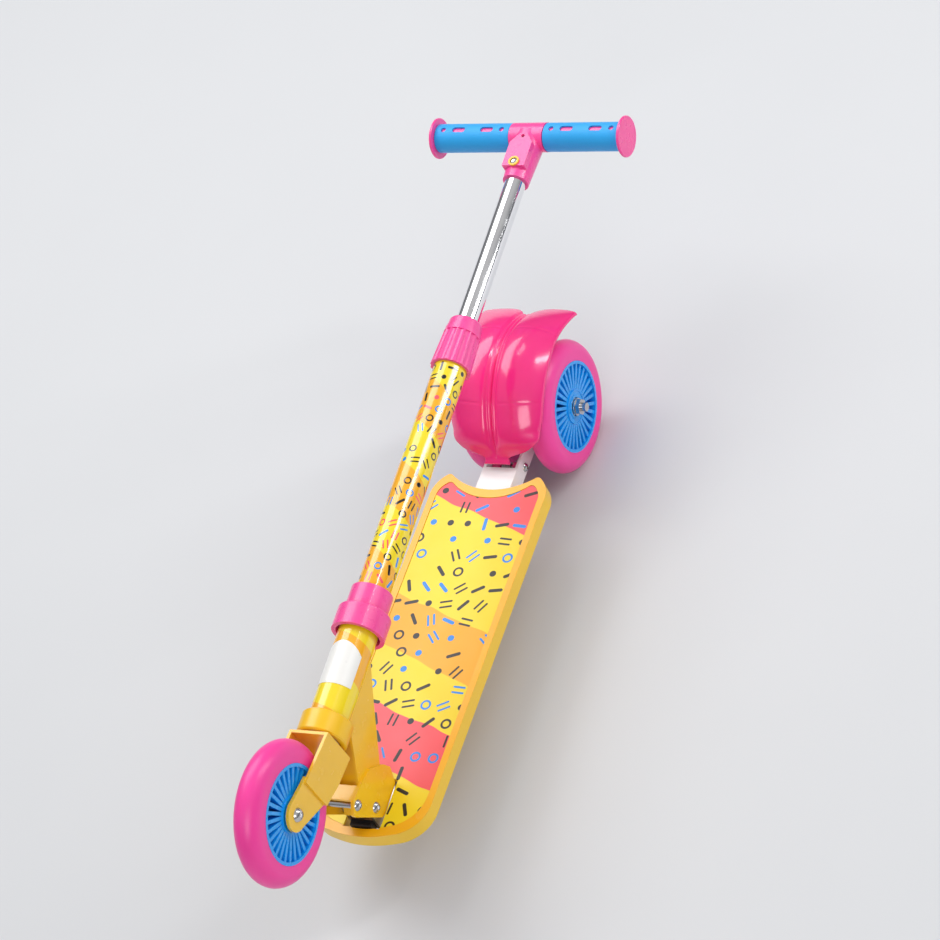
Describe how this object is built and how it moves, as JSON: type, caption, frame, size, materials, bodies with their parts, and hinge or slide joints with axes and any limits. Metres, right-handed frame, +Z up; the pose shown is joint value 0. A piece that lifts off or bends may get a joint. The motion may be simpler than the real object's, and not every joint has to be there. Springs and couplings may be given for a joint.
{
  "type": "folding kick scooter",
  "caption": "Children's folding three-wheel kick scooter, folded, with adjustable stem, T-handlebar, printed deck and foot-brake fender.",
  "frame": {"origin": "on the ground, under the middle of the folded scooter's bounding box", "axes": "+X to the rider's left along the handlebar and axles, +Y from the front wheel towards the rear wheels along the deck, +Z up"},
  "size_m": [0.19, 0.77, 0.2503],
  "materials": {
    "tyre_rubber": "soft matt",
    "hub_blue": "moulded gloss",
    "bearing_steel": "ground",
    "fork_paint": "gloss powder coat",
    "steel": "zinc plated",
    "tube_print": "printed film under lacquer",
    "pink_plastic": "moulded satin gloss",
    "fender_plastic": "moulded gloss",
    "chrome": "polished",
    "grip_rubber": "soft matt",
    "yellow_plastic": "moulded gloss",
    "neck_paint": "gloss powder coat",
    "head_print": "printed film under lacquer",
    "label_film": "smooth film",
    "deck_yellow": "moulded satin",
    "mat_print": "printed grip sheet",
    "black_plastic": "moulded matt",
    "white_paint": "powder coat",
    "grey_plastic": "moulded",
    "spring_steel": "oiled"
  },
  "bodies": {
    "deck": {"deck_tray": "deck_yellow", "deck_mat": "mat_print", "hinge_bracket": "steel", "bracket_screws": "steel", "pivot_sleeve": "grey_plastic", "latch_spring": "spring_steel", "tail_bracket": "white_paint", "tail_screws": "steel", "rear_axle_bolt": "steel", "rear_axle_nut": "steel", "rear_axle_spacers": "steel", "brake_pin": "steel", "brake_pin_nut": "steel", "brake_spring": "spring_steel"},
    "rear_wheel_left": {"rear_left_tyre": "tyre_rubber", "rear_left_hub": "hub_blue", "rear_left_bearings": "bearing_steel"},
    "rear_wheel_right": {"rear_right_tyre": "tyre_rubber", "rear_right_hub": "hub_blue", "rear_right_bearings": "bearing_steel"},
    "brake": {"rear_fender": "fender_plastic"},
    "latch": {"latch_block": "black_plastic"},
    "neck": {"head_tube": "head_print", "lower_cup": "yellow_plastic", "headset_bearings": "grey_plastic", "neck": "neck_paint", "hinge_cheek_left": "neck_paint", "hinge_cheek_right": "neck_paint", "hinge_web": "neck_paint", "pivot_bolt": "steel", "lock_bolt": "steel", "hinge_nuts": "steel", "label": "label_film"},
    "steering": {"fork": "fork_paint", "steerer": "steel", "crown_race": "steel", "lower_collar": "pink_plastic", "steerer_insert": "grey_plastic", "outer_tube": "tube_print", "collet": "grey_plastic", "front_axle_bolt": "steel", "front_axle_nut": "steel", "front_axle_spacers": "steel"},
    "front_wheel": {"front_tyre": "tyre_rubber", "front_hub": "hub_blue", "front_bearings": "bearing_steel"},
    "height_lock": {"height_collar": "pink_plastic"},
    "stem": {"stem_tube": "chrome", "stem_foot": "grey_plastic", "handle_head": "pink_plastic", "bar_tube": "steel", "grip_left": "grip_rubber", "grip_right": "grip_rubber", "end_cap_left": "pink_plastic", "end_cap_right": "pink_plastic", "button_bezel": "yellow_plastic", "button_spring": "spring_steel", "head_screw": "steel"},
    "button": {"handle_button": "chrome"}
  },
  "joints": [
    {"name": "fold_hinge", "type": "hinge", "parent": "deck", "child": "neck", "pos_m": [0, -0.25475, 0.08786], "axis": [1, 0, 0], "range_deg": [0, 68.5]},
    {"name": "steering_turn", "type": "hinge", "parent": "neck", "child": "steering", "pos_m": [0, -0.20151, 0.17728], "axis": [0, 0.9981, 0.061], "range_deg": [-50, 50]},
    {"name": "front_wheel_spin", "type": "hinge", "parent": "steering", "child": "front_wheel", "pos_m": [0, -0.32503, 0.19026], "axis": [1, 0, 0], "continuous": true},
    {"name": "rear_left_spin", "type": "hinge", "parent": "deck", "child": "rear_wheel_left", "pos_m": [0.0343, 0.18285, 0.06], "axis": [1, 0, 0], "continuous": true},
    {"name": "rear_right_spin", "type": "hinge", "parent": "deck", "child": "rear_wheel_right", "pos_m": [-0.0343, 0.18285, 0.06], "axis": [1, 0, 0], "continuous": true},
    {"name": "brake_press", "type": "hinge", "parent": "deck", "child": "brake", "pos_m": [0, 0.11615, 0.058], "axis": [-1, 0, 0], "range_deg": [0, 4.5], "stiffness_Nm_per_rad": 2.2, "springref_deg": -14.32},
    {"name": "latch_push", "type": "slide", "parent": "deck", "child": "latch", "axis": [0, 0, -1], "range_m": [0, 0.0045], "stiffness_N_per_m": 250, "springref_m": -0.004, "deforming": ["latch_spring"]},
    {"name": "height_lock_twist", "type": "hinge", "parent": "steering", "child": "height_lock", "pos_m": [0, 0.13786, 0.19804], "axis": [0, 0.9981, 0.061], "range_deg": [0, 60]},
    {"name": "height_slide", "type": "slide", "parent": "steering", "child": "stem", "axis": [0, 0.9981, 0.061], "range_m": [-0.115, 0]},
    {"name": "button_push", "type": "slide", "parent": "stem", "child": "button", "axis": [0, 0.061, -0.9981], "range_m": [0, 0.002], "stiffness_N_per_m": 400, "springref_m": -0.003}
  ]
}
